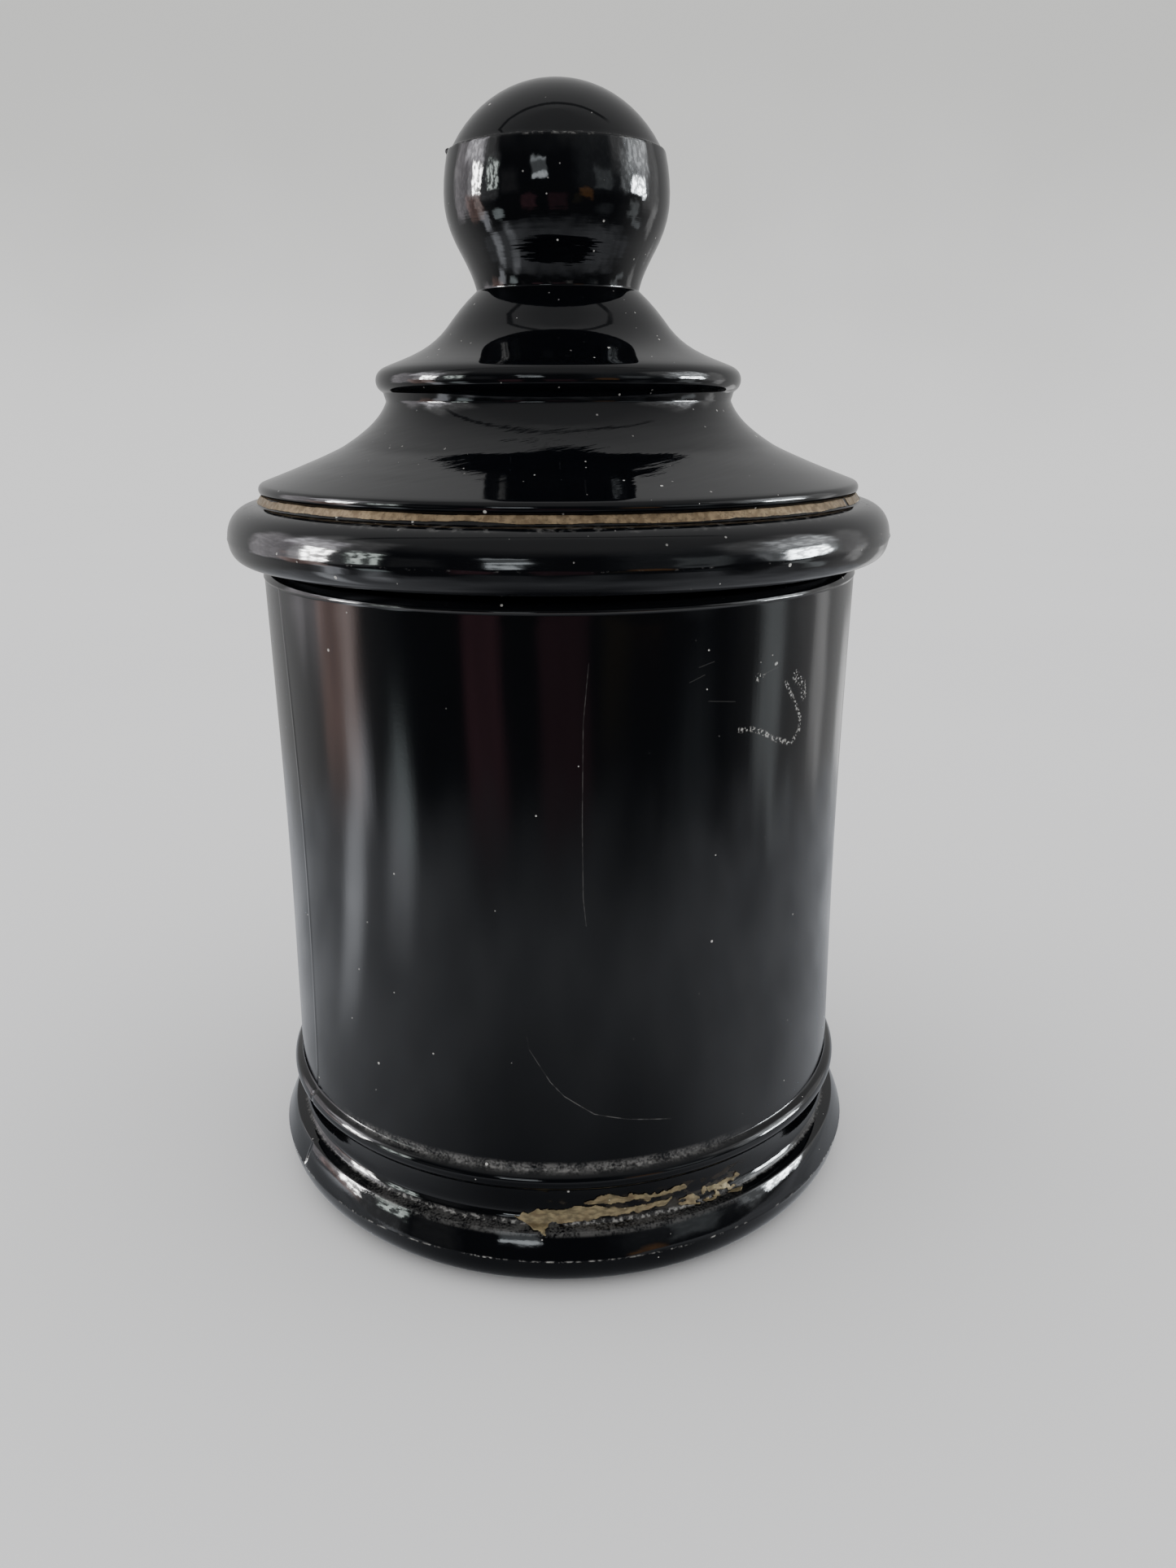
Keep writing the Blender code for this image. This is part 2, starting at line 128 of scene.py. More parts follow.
def finished(pieces, fillet=0.25, turn_deg=5.0, longest=2.0, fine=()):
    """One outline from its pieces, with its corners rounded and with points only where it bends.

    Between the two heights of each pair in fine, no two points are over 0.45 mm apart."""
    points = np.vstack([np.atleast_2d(np.array(p, float)) for p in pieces])
    steps = np.linalg.norm(np.diff(points, axis=0), axis=1)
    points = points[np.append(True, steps > 1e-6)]
    travelled = np.append(0, np.cumsum(np.linalg.norm(np.diff(points, axis=0), axis=1)))
    spacing = 0.08
    at = np.linspace(0, travelled[-1], int(travelled[-1] / spacing) + 1)
    dense = np.column_stack([np.interp(at, travelled, points[:, k]) for k in (0, 1)])
    reach = int(3 * fillet / spacing)
    window = np.exp(-0.5 * (np.arange(-reach, reach + 1) * spacing / fillet) ** 2)
    window /= window.sum()
    padded = np.vstack((2 * dense[0] - dense[reach:0:-1], dense, 2 * dense[-1] - dense[-2:-reach - 2:-1]))
    # Across the axis the outline carries on as its own mirror image
    if dense[0, 0] < 1e-6:
        padded[:reach] = dense[reach:0:-1] * (-1, 1)
    if dense[-1, 0] < 1e-6:
        padded[-reach:] = dense[-2:-reach - 2:-1] * (-1, 1)
    smooth = np.column_stack([np.convolve(padded[:, k], window, "valid") for k in (0, 1)])
    smooth[0], smooth[-1] = dense[0], dense[-1]
    heading = np.unwrap(np.arctan2(*np.diff(smooth, axis=0).T[::-1]))
    kept = [0]
    for i in range(1, len(smooth) - 1):
        bent = abs(heading[i] - heading[kept[-1]]) > math.radians(turn_deg)
        far = np.linalg.norm(smooth[i] - smooth[kept[-1]])
        limit = 0.45 if any(low < smooth[i, 1] < high for low, high in fine) else longest
        if bent or far > limit:
            kept.append(i)
    return smooth[kept + [len(smooth) - 1]]


def lid_outside():
    cap_centre = (0, KNOB_TOP - CAP_RADIUS)
    edge_deg = math.degrees(math.acos(CAP_EDGE / CAP_RADIUS))
    cap = arc(cap_centre, CAP_RADIUS, 90, edge_deg, 60)
    step = (STEP_RADIUS, cap[-1, 1] - 0.1)
    bead = arc(BEAD_CENTRE, BEAD_RADIUS, 0, -65)
    lip = arc(LIP_CENTRE, LIP_RADIUS, 70, -60)
    parting = (RIM_RADIUS, RIM_PARTING_Z)
    return finished([
        cap,
        (STEP_RADIUS - 0.25, step[1] + 0.05),
        bezier(step, (19.9, 191.9), (KNOB_RADIUS, 189.4), (KNOB_RADIUS, KNOB_Z)),
        bezier((KNOB_RADIUS, KNOB_Z), (KNOB_RADIUS, 183.5), (19.05, 180.6), KNOB_UNDERSIDE),
        bezier(KNOB_UNDERSIDE, (16.35, 175.7), (15.2, 173.4), NECK),
        bezier(NECK, (16.75, 169.75), (18.4, 167.9), FLARE_MIDDLE),
        bezier(FLARE_MIDDLE, (23.2, 161.5), (27.1, 160.3), FLARE_END),
        bezier(FLARE_END, (32.5, 158.25), (bead[0, 0], 157.6), bead[0]),
        bead,
        bezier(GROOVE, (33.35, 149.05), (36.8, 146.7), DOME_SHOULDER),
        bezier(DOME_SHOULDER, (41.5, 143.7), (48.6, 140.8), lip[0]),
        lip,
        bezier(LEDGE_END, (60.4, 134.6), (RIM_RADIUS, 131.8), parting),
        bezier(parting, (61.8, 126.2), (60.8, 124.7), (58.1, LID_UNDER)),
    ], fillet=0.16, fine=((140, 149), (173, 186)))


def lid_inside():
    return finished([
        [(58.1, LID_UNDER), (50.2, LID_UNDER), (50.2, 117.5), (49.7, 117.0), (46.2, 117.0), (46.2, 133.0)],
        bezier((46.2, 133.0), (46.0, 136.8), (38.0, 139.0), (33.0, 143.0)),
        bezier((33.0, 143.0), (29.0, 146.5), (29.2, 153.0), (24.5, 156.0)),
        bezier((24.5, 156.0), (19.0, 159.2), (12.0, 163.0), (0, 163.0)),
    ], fillet=0.4, turn_deg=9)


def wall_radius(z):
    middle, half = (WALL_TOP + WALL_BOTTOM) / 2, (WALL_TOP - WALL_BOTTOM) / 2
    return WALL_RADIUS - WAIST + WAIST * ((z - middle) / half) ** 2


def band_and_foot():
    """From the groove under the foot bead, over the band, the crease and the foot, to the floor."""
    parting = (FOOT_RADIUS, FOOT_PARTING_Z)
    return [
        bezier((55.35, 19.2), (BAND[0], 18.0), (BAND[0], 16.8), BAND),
        bezier(BAND, (BAND[0], 14.2), (55.3, 13.0), CREASE),
        bezier(LEDGE_EDGE, (58.0, 12.1), (58.1, 12.0), FOOT_SHOULDER),
        bezier(FOOT_SHOULDER, (58.95, 10.4), (59.6, 8.9), parting),
        bezier(parting, (60.0, 4.6), (58.6, 1.2), (54.0, 0)),
    ]


def jar_outside():
    heights = np.linspace(WALL_TOP - 0.2, WALL_BOTTOM, 60)
    return finished([
        [(51.8, JAR_TOP), (54.0, JAR_TOP)],
        bezier((54.0, JAR_TOP), (55.0, JAR_TOP - 0.1), (55.9, JAR_TOP - 1.0), (56.2, WALL_TOP + 0.2)),
        np.column_stack((wall_radius(heights), heights)),
        arc(FOOT_BEAD_CENTRE, FOOT_BEAD_RADIUS, 70, -80),
        *band_and_foot(),
    ], fillet=0.13)


def jar_inside():
    """Under the foot to the axis, as one run, and then the hollow from the mouth to its floor."""
    under = finished([(54.0, 0), (46.0, 0), (43.0, 2.4), (0, 3.0)], fillet=0.4, turn_deg=9)
    fillet = arc((44, 16), 7, 0, -90)
    mouth = [(51.8, JAR_TOP), (51.0, JAR_TOP - 0.8)]
    hollow = finished([mouth, fillet, (0, 9.0)], fillet=0.3, turn_deg=9, longest=6)
    return under, hollow


# Turned solids

def turn_angles(count, finer_at=()):
    """Azimuths round the turn, in radians, with closer ones at each (azimuth, reach, step) of finer_at."""
    angles = list(np.linspace(-180, 180, count, endpoint=False))
    for centre, reach, step in finer_at:
        angles += list(np.arange(centre - reach, centre + reach, step))
    angles = np.unique(np.round(angles, 3))
    return np.radians(angles[np.append(True, np.diff(angles) > 0.1)])


def new_piece(name, points, faces, material, body, slot):
    mesh = bpy.data.meshes.new(name)
    mesh.from_pydata(np.asarray(points) * MM, [], faces)
    mesh.polygons.foreach_set("use_smooth", [True] * len(mesh.polygons))
    mesh.materials.append(material)
    piece = bpy.data.objects.new(name, mesh)
    bpy.context.scene.collection.objects.link(piece)
    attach(piece, body)
    return piece


def on_turn(angles, radius, height):
    """Points of the grid height by angle; radius and height may vary over it."""
    angle = np.broadcast_to(angles, np.shape(radius))
    return np.stack((radius * np.sin(angle), -radius * np.cos(angle), height), axis=-1)


def turned(outline, angles, relief):
    """Vertices and faces of a closed solid, whose outline starts and ends on the axis.

    relief says how far its skin stands out at each point of the outline and each angle."""
    along = np.gradient(outline, axis=0)
    along /= np.linalg.norm(along, axis=1)[:, None]
    radius, height = outline[:, :1], outline[:, 1:]
    out = relief(angles[None, :], radius, height)
    radius = np.broadcast_to(radius, out.shape) - along[:, 1:] * out
    height = np.broadcast_to(height, out.shape) + along[:, :1] * out
    rings = on_turn(angles, radius[1:-1], height[1:-1]).reshape(-1, 3)
    poles = [(0, 0, outline[0, 1]), (0, 0, outline[-1, 1])]
    count, ring_total = len(angles), len(outline) - 2
    here = np.arange(count)
    nxt = np.roll(here, -1)
    faces = []
    for i in range(ring_total - 1):
        upper, lower = i * count, (i + 1) * count
        faces += np.column_stack((upper + here, lower + here, lower + nxt, upper + nxt)).tolist()
    top, bottom = ring_total * count, ring_total * count + 1
    last = (ring_total - 1) * count
    faces += [(top, a, b) for a, b in zip(here.tolist(), nxt.tolist())]
    faces += [(bottom, last + b, last + a) for a, b in zip(here.tolist(), nxt.tolist())]
    return np.vstack((rings, poles)), faces


def window(value, low, high, soft):
    """1 between low and high, falling smoothly to 0 over soft on both sides."""
    rise = np.clip((value - low) / soft + 0.5, 0, 1)
    fall = np.clip((high - value) / soft + 0.5, 0, 1)
    return rise * rise * (3 - 2 * rise) * fall * fall * (3 - 2 * fall)


def waves(angle, height, seed, turns, lengths, count=12):
    """A smooth seeded ripple; turns is the range of waves in a turn, and lengths of their heights."""
    random = np.random.default_rng(seed)
    total = 0
    for _ in range(count):
        round_turn = random.integers(turns[0], turns[1] + 1)
        upright = 2 * math.pi / random.uniform(*lengths) * random.choice((-1, 1))
        total = total + np.cos(round_turn * angle + upright * height + random.uniform(0, 6.28))
    return total / math.sqrt(count)


def ridge(value, centre, width):
    return np.exp(-((value - centre) / width) ** 2)


def lid_relief(angle, radius, height):
    azimuth = np.degrees(angle)
    outer = np.where(radius > np.interp(height, (117, 124.4, 150, 163, 165), (70, 56, 31, 12, 0)), 1.0, 0.0)
    chill = 0.004 * waves(angle, height, 3, (0, 6), (1.4, 3.0)) * window(height, 174.5, 184.5, 3)
    streaks = 0.008 * waves(angle, height, 5, (2, 10), (1.8, 4.0)) * window(height, 140.0, 149.0, 3)
    peel = 0.003 * waves(angle, height, 7, (8, 30), (3, 9))
    uneven = 0.5 + 0.5 * np.clip(waves(angle, height, 11, (3, 25), (30, 60)), -1, 1)
    rim_flash = 0.16 * uneven * ridge(height, RIM_PARTING_Z, 0.22)
    step_flash = 0.06 * uneven * ridge(height, 194.15, 0.3)
    spur = 0.55 * ridge(azimuth, -85, 1.3) * ridge(height, 194.3, 0.35)
    return outer * (chill + streaks + peel + rim_flash + step_flash + spur)


def jar_relief(angle, radius, height):
    azimuth = np.degrees(angle)
    outer = np.where(radius > 53.5, 1.0, 0.0)
    wall = window(height, WALL_BOTTOM, WALL_TOP, 1.5)
    seam_at = SEAM_AZIMUTH + 1.4 * np.sin((height - 30) / 28.0)
    seam = 0.07 * ridge(azimuth, seam_at, 0.35) + 0.07 * ridge(azimuth, seam_at + 180, 0.35)
    step = np.tanh((azimuth - SEAM_AZIMUTH) / 0.35) * ridge(azimuth, SEAM_AZIMUTH, 5)
    notch = (0.12 * step - 0.35 * ridge(azimuth, SEAM_AZIMUTH, 0.4)) * window(height, 7.6, 11.8, 1)
    nick = -0.15 * ridge(azimuth, SEAM_AZIMUTH, 0.6) * window(height, 19.5, 23.5, 1)
    sag = 0.05 * waves(angle, height, 17, (1, 6), (60, 140), 8)
    draw = 0.0035 * waves(angle, height, 19, (14, 46), (50, 150), 14)
    uneven = 0.5 + 0.5 * np.clip(waves(angle, height, 23, (3, 25), (30, 60)), -1, 1)
    flash = 0.14 * uneven * ridge(height, FOOT_PARTING_Z, 0.2)
    mould_line = 0.06 * ridge(height, 121.9, 0.15)
    return outer * (wall * (seam + sag + draw) + notch + nick + flash + mould_line)


# Node trees

class Graph:
    """Short calls that add nodes: each takes numbers or sockets and returns a socket."""

    def __init__(self, tree):
        self.tree = tree
        tree.nodes.clear()

    def put(self, socket, value):
        if isinstance(value, bpy.types.NodeSocket):
            self.tree.links.new(value, socket)
        else:
            socket.default_value = value

    def node(self, kind, inputs=None, **settings):
        made = self.tree.nodes.new("ShaderNode" + kind)
        for key, value in settings.items():
            setattr(made, key, value)
        for key, value in (inputs or {}).items():
            self.put(made.inputs[key], value)
        return made

    def math(self, operation, *values):
        made = self.node("Math", operation=operation)
        for socket, value in zip(made.inputs, values):
            self.put(socket, value)
        return made.outputs[0]

    def vector(self, operation, *values, output=0):
        made = self.node("VectorMath", operation=operation)
        for key, value in zip((0, 1, "Scale"), values):
            if value is not None:
                self.put(made.inputs[key], value)
        return made.outputs[output]

    def total(self, *values):
        result = values[0]
        for value in values[1:]:
            result = self.math("ADD", result, value)
        return result

    def product(self, *values):
        result = values[0]
        for value in values[1:]:
            result = self.math("MULTIPLY", result, value)
        return result

    def ramp(self, value, low, high, to_low=0.0, to_high=1.0):
        """Smoothly from to_low at low to to_high at high."""
        inputs = {"Value": value, "From Min": low, "From Max": high, "To Min": to_low, "To Max": to_high}
        return self.node("MapRange", inputs, interpolation_type="SMOOTHSTEP").outputs[0]

    def between(self, value, low, high, soft):
        """1 between low and high, falling to 0 over soft on each side."""
        rise = self.ramp(value, low - soft / 2, low + soft / 2)
        return self.product(rise, self.ramp(value, high + soft / 2, high - soft / 2))

    def mix(self, share, first, second):
        made = self.node("Mix", {0: share, 6: first, 7: second}, data_type="RGBA")
        return made.outputs[2]

    def noise(self, where, size, detail=2.0, roughness=0.5, stretch=(1, 1, 1)):
        """Noise from 0 to 1 whose lumps are about size across."""
        scaled = self.vector("MULTIPLY", where, tuple(s / size for s in stretch))
        inputs = {"Vector": scaled, "Scale": 1.0, "Detail": detail, "Roughness": roughness}
        return self.node("TexNoise", inputs).outputs["Fac"]

    def place(self):
        """The point in millimetres, its x, y and z, its azimuth, and its distance from the axis."""
        metres = self.node("TexCoord").outputs["Object"]
        point = self.vector("SCALE", metres, None, 1 / MM)
        split = self.node("SeparateXYZ", {0: point}).outputs
        towards_front = self.math("MULTIPLY", split[1], -1)
        azimuth = self.math("DEGREES", self.math("ARCTAN2", split[0], towards_front))
        squares = self.total(self.product(split[0], split[0]), self.product(split[1], split[1]))
        radius = self.math("SQRT", squares)
        return point, split[0], split[1], split[2], azimuth, radius

    def specks(self, point, cell, radius, share):
        """Scattered dots of different sizes, one in some of the cells."""
        inputs = {"Vector": self.vector("SCALE", point, None, 1 / cell), "Scale": 1.0}
        cells = self.node("TexVoronoi", inputs).outputs
        chance = self.node("SeparateXYZ", {0: cells["Color"]}).outputs
        size = self.ramp(chance[1], 0, 1, radius * 0.45, radius)
        dot = self.math("LESS_THAN", self.product(cells["Distance"], cell), size)
        return self.product(dot, self.math("LESS_THAN", chance[0], share))

    def stretched(self, chart, size, turn_deg, detail=3.0):
        """Noise from 0 to 1 in streaks of size (along, across), turned from the chart's first axis."""
        inputs = {"Vector": chart, "Angle": math.radians(turn_deg)}
        turned_chart = self.node("VectorRotate", inputs, rotation_type="Z_AXIS").outputs[0]
        return self.noise(turned_chart, 1.0, detail, stretch=(1 / size[0], 1 / size[1], 1))

    def trail(self, place, points, width):
        """A line through several points of a plane."""
        result = self.stroke(place, points[0], points[1], width)
        for first, second in zip(points[1:], points[2:]):
            result = self.math("MAXIMUM", result, self.stroke(place, first, second, width))
        return result

    def stroke(self, place, first, second, width):
        """A line between two points of a plane, faded at its sides."""
        run = tuple(b - a for a, b in zip(first, second))
        offset = self.vector("SUBTRACT", place, (*first, 0))
        along = self.vector("DOT_PRODUCT", offset, (*run, 0), output=1)
        share = self.node("Clamp", {0: self.math("DIVIDE", along, sum(v * v for v in run))}).outputs[0]
        nearest = self.vector("SCALE", (*run, 0), None, share)
        away = self.vector("LENGTH", self.vector("SUBTRACT", offset, nearest), output=1)
        return self.ramp(away, width, width * 0.3)


def new_material(name):
    material = bpy.data.materials.new(name)
    material.use_nodes = True
    return material, Graph(material.node_tree)


def shade(graph, colour, roughness, normal=None, **constants):
    """The Principled shader and the output; constants are set on the shader's own sockets."""
    names = {"metallic": "Metallic", "ior": "IOR", "specular": "Specular IOR Level"}
    inputs = {"Base Color": colour, "Roughness": roughness}
    if normal is not None:
        inputs["Normal"] = normal
    inputs.update({names[key]: value for key, value in constants.items()})
    shader = graph.node("BsdfPrincipled", inputs)
    graph.node("OutputMaterial", {"Surface": shader.outputs[0]})


def bump(graph, height, depth_mm, below=None):
    inputs = {"Height": height, "Distance": depth_mm * MM, "Strength": 1.0}
    if below is not None:
        inputs["Normal"] = below
    return graph.node("Bump", inputs).outputs[0]


def glass_coat(graph, colour, roughness, marks, normal):
    """Dust, lint and scratches over polished black glass; marks are (mask, colour) pairs."""
    for mask, tint in marks:
        colour = graph.mix(mask, colour, tint)
        roughness = graph.total(roughness, graph.product(mask, 0.7))
    shade(graph, colour, graph.math("MINIMUM", roughness, 0.9), normal, ior=1.5)


def lid_glass():
    material, graph = new_material("lid_glass")
    point, _, _, z, azimuth, radius = graph.place()
    round_it = graph.product(azimuth, radius, math.pi / 180)
    chart = graph.node("CombineXYZ", {0: round_it, 1: z, 2: 0.0}).outputs[0]
    smear = graph.noise(point, 22, 3.0, stretch=(1, 1, 2.5))
    roughness = graph.ramp(smear, 0.35, 0.8, 0.03, 0.075)
    below_bead = graph.ramp(z, 138, 135, 0.0, 0.025)
    film = graph.product(graph.noise(point, 9, 4.0), 0.006)
    patchy = graph.ramp(graph.noise(point, 14), 0.45, 0.7)

    def broken_ring(low, high, soft, lumps, detail, thin, full):
        """A ring between two heights, broken up by noise."""
        breaks = graph.ramp(graph.noise(point, lumps, detail), thin, full)
        return graph.product(graph.between(z, low, high, soft), breaks)

    under_gilt = broken_ring(134.2, 134.9, 0.5, 1.3, 3.0, 0.52, 0.72)
    neck_line = broken_ring(171.7, 172.1, 0.4, 2.0, 3.0, 0.52, 0.8)
    flash = broken_ring(128.75, 129.0, 0.2, 0.8, 3.0, 0.55, 0.8)
    step = broken_ring(193.9, 194.4, 0.3, 0.9, 4.0, 0.5, 0.75)
    fine_specks = graph.product(graph.specks(point, 1.9, 0.20, 0.27), graph.ramp(patchy, 0, 1, 0.25, 0.8))
    marks = [
        (film, DUST),
        (fine_specks, LINT),
        (graph.product(graph.specks(point, 3.9, 0.30, 0.22), 0.8), LINT),
        (graph.product(under_gilt, 0.22), DUST),
        (graph.product(neck_line, 0.2), DUST),
        (graph.product(flash, 0.25), DUST),
        (graph.product(step, 0.14), LINT),
    ]
    brushed = graph.stretched(chart, (7.0, 0.55), -9, 3.0)
    brushed = graph.product(brushed, graph.between(z, 139.5, 149.5, 4.0))
    knob_chill = graph.stretched(chart, (9.0, 0.9), 0, 2.0)
    knob_chill = graph.product(knob_chill, graph.between(z, 174.5, 184.0, 4.0))
    normal = bump(graph, graph.total(brushed, knob_chill), 0.026)
    normal = bump(graph, graph.noise(point, 0.6, 2.0), 0.0022, normal)
    glass_coat(graph, GLASS, graph.total(roughness, below_bead), marks, normal)
    return material


def jar_glass():
    material, graph = new_material("jar_glass")
    point, x, y, z, azimuth, radius = graph.place()
    inside = graph.math("LESS_THAN", radius, 52.5)
    wall = graph.between(z, WALL_BOTTOM + 0.5, WALL_TOP, 1.0)
    smear = graph.noise(point, 26, 3.0, stretch=(1, 1, 0.5))
    satin = graph.ramp(smear, 0.3, 0.75, 0.06, 0.10)
    roughness = graph.total(0.035, graph.product(wall, satin), graph.product(inside, 0.1))
    film = graph.product(graph.noise(point, 11, 4.0), 0.004)
    chart = graph.node("CombineXYZ", {0: azimuth, 1: z, 2: 0.0}).outputs[0]
    front = graph.math("LESS_THAN", y, 0)
    fine = graph.noise(point, 0.45, 4.0)
    broken = graph.ramp(graph.noise(point, 1.3, 3.0), 0.4, 0.62)

    # Marks on the wall, at (azimuth, height)
    hair = graph.trail(chart, ((4.3, 114.0), (3.4, 104.5), (3.2, 88.0), (3.3, 75.0), (3.8, 70.0)), 0.11)
    hair = graph.product(hair, front, graph.ramp(broken, 0, 1, 0.35, 1.0))
    sweep_points = (
        (-7.6, 55.3), (-6.3, 47.1), (-2.6, 40.9), (-0.2, 38.2), (5.1, 34.5), (11, 32.9), (19.4, 31.5),
    )
    sweep = graph.trail(chart, sweep_points, 0.12)
    sweep = graph.product(sweep, front, graph.ramp(broken, 0, 1, 0.2, 1.0), graph.ramp(z, 52, 38))
    scuff_edge = ((42.3, 107.5), (45.1, 103.8), (47.2, 100.7), (47.1, 98.4), (45.1, 96.7))
    scuff_foot = ((44.0, 96.8), (40.4, 98.0), (37.1, 99.7), (34.3, 100.8), (31.4, 101.0))
    chalk = graph.math("MAXIMUM", graph.trail(chart, scuff_edge, 0.55), graph.trail(chart, scuff_foot, 0.6))
    chalk = graph.product(chalk, graph.ramp(fine, 0.50, 0.57))
    powder = graph.trail(chart, ((45.0, 108.4), (47.3, 106.4), (48.1, 104.3)), 1.3)
    powder = graph.math("MAXIMUM", powder, graph.trail(chart, ((35.1, 109.3), (36.1, 109.8)), 0.9))
    chalk = graph.total(chalk, graph.product(powder, graph.ramp(fine, 0.55, 0.62)))
    chip = graph.stroke(chart, (39.2, 111.1), (39.5, 111.2), 0.35)
    chalk = graph.product(graph.total(chalk, chip), front)
    short_lines = (
        ((22.9, 112.4), (25.7, 113.1)),
        ((21.2, 110.1), (24.0, 111.1)),
        ((24.9, 106.7), (30.3, 106)),
    )
    hairlines = graph.stroke(chart, (36.0, 109.7), (39.8, 110.5), 0.12)
    for first, second in short_lines:
        hairlines = graph.math("MAXIMUM", hairlines, graph.stroke(chart, first, second, 0.12))
    hairlines = graph.product(hairlines, front)

    # Fluff and lint in the creases of the foot, thickest at the front
    to_front = graph.math("ABSOLUTE", graph.total(azimuth, 8.0))
    fluffy = graph.ramp(to_front, 50, 22)
    clumps = graph.noise(point, 3.5, 3.0)
    fluff = graph.ramp(graph.total(fine, clumps), 0.75, 1.25)
    lint_line = graph.ramp(graph.noise(point, 0.8, 4.0), 0.45, 0.65)
    junction_high = graph.ramp(graph.math("ABSOLUTE", graph.math("SUBTRACT", z, 24.1)), 1.2, 0.1)
    junction_low = graph.product(graph.between(z, 23.4, 23.75, 0.25), lint_line, fluffy, 0.3)
    junction = graph.total(graph.product(junction_high, fluff, fluffy, 0.48), junction_low)
    outside = graph.math("GREATER_THAN", radius, 53.5)
    valley = graph.product(graph.between(radius, 55.75, 56.35, 0.4), graph.between(z, 12.0, 12.9, 0.4))
    crease = graph.product(valley, graph.ramp(fluffy, 0, 1, 0.3, 1.0), lint_line, 0.42)
    on_ledge = graph.product(graph.between(radius, 55.9, 58.9, 0.8), graph.between(z, 11.4, 12.9, 0.6))
    ledge = graph.product(on_ledge, fluffy, fluff, 0.26)
    in_places = graph.ramp(graph.noise(point, 6), 0.4, 0.6)
    parting = graph.product(graph.between(z, 7.3, 7.55, 0.2), lint_line, in_places, 0.5)
    mould_line = graph.product(graph.between(z, 121.75, 121.95, 0.15), 0.10)
    residue_noise = graph.noise(point, 1.6, 4.0, stretch=(0.6, 0.6, 1.4))
    behind_label = graph.product(graph.between(z, 12.7, 16.8, 0.8), graph.between(x, -3, 33, 3.0))
    residue = graph.product(behind_label, front, outside, graph.ramp(residue_noise, 0.45, 0.6), 0.8)
    marks = [
        (film, DUST),
        (graph.product(residue, 0.9), (0.020, 0.014, 0.008, 1)),
        (graph.product(graph.specks(point, 2.3, 0.17, 0.16), 0.65), LINT),
        (graph.product(graph.specks(point, 4.9, 0.28, 0.17), 0.8), LINT),
        (graph.product(hair, 0.08), LINT),
        (graph.product(sweep, 0.13), LINT),
        (graph.product(chalk, 0.48), LINT),
        (graph.product(hairlines, 0.035), LINT),
        (graph.product(junction, outside), DUST),
        (graph.product(crease, outside), LINT),
        (ledge, DUST),
        (graph.product(parting, outside), LINT),
        (graph.product(mould_line, outside), DUST),
    ]
    drawn = graph.product(graph.stretched(chart, (0.8, 16.0), 0, 2.0), wall)
    normal = bump(graph, drawn, 0.0025)
    normal = bump(graph, graph.noise(point, 0.5, 2.0), 0.0030, normal)
    glass_coat(graph, GLASS, roughness, marks, normal)
    return material


def gold_paint():
    material, graph = new_material("worn_gold_paint")
    point = graph.place()[0]
    blotches = graph.noise(point, 1.2, 4.0)
    colour = graph.mix(graph.ramp(blotches, 0.35, 0.7), (0.15, 0.105, 0.058, 1), (0.30, 0.225, 0.135, 1))
    grime = graph.ramp(graph.noise(point, 0.4, 3.0), 0.55, 0.70)
    colour = graph.mix(graph.product(grime, 0.55), colour, (0.03, 0.025, 0.02, 1))
    roughness = graph.ramp(blotches, 0.3, 0.7, 0.46, 0.30)
    shade(graph, colour, roughness, bump(graph, graph.noise(point, 0.3, 3.0), 0.012), metallic=0.5)
    return material


def gold_foil():
    material, graph = new_material("torn_gold_foil")
    point = graph.place()[0]
    fibres = graph.noise(point, 0.9, 5.0, stretch=(0.6, 0.6, 1.6))
    colour = graph.mix(graph.ramp(fibres, 0.35, 0.68), (0.115, 0.092, 0.05, 1), (0.29, 0.235, 0.13, 1))
    stain = graph.ramp(graph.noise(point, 2.6, 3.0), 0.5, 0.7)
    colour = graph.mix(graph.product(stain, 0.5), colour, (0.17, 0.115, 0.06, 1))
    glints = graph.specks(point, 1.5, 0.16, 0.25)
    colour = graph.mix(graph.product(glints, 0.6), colour, (0.75, 0.68, 0.48, 1))
    roughness = graph.ramp(fibres, 0.3, 0.7, 0.65, 0.4)
    shade(graph, colour, roughness, bump(graph, graph.noise(point, 0.5, 5.0), 0.05), metallic=0.3)
    return material


def steel():
    material, graph = new_material("polished_steel")
    point = graph.place()[0]
    brushing = graph.noise(point, 2.0, 4.0, 0.6, stretch=(0.3, 0.3, 9))
    spots = graph.ramp(graph.noise(point, 5, 3.0), 0.55, 0.75)
    colour = graph.mix(graph.product(spots, 0.4), (0.58, 0.58, 0.60, 1), (0.42, 0.41, 0.40, 1))
    roughness = graph.total(graph.ramp(brushing, 0.3, 0.7, 0.13, 0.24), graph.product(spots, 0.08))
    shade(graph, colour, roughness, bump(graph, brushing, 0.004), metallic=1.0)
    return material


def plastic():
    material, graph = new_material("foot_plastic")
    point = graph.place()[0]
    grain = graph.noise(point, 0.5, 3.0)
    colour = graph.mix(grain, (0.045, 0.045, 0.05, 1), (0.09, 0.09, 0.10, 1))
    shade(graph, colour, graph.ramp(grain, 0.3, 0.7, 0.42, 0.58), bump(graph, grain, 0.02))
    return material


# The pieces

def make_lid(material):
    outline = np.vstack((lid_outside(), lid_inside()[1:]))
    angles = turn_angles(288, [(-85, 5, 0.16)])
    piece = new_piece("lid_glass", *turned(outline, angles, lid_relief), material, "lid", "black_glass")
    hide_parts("lid")


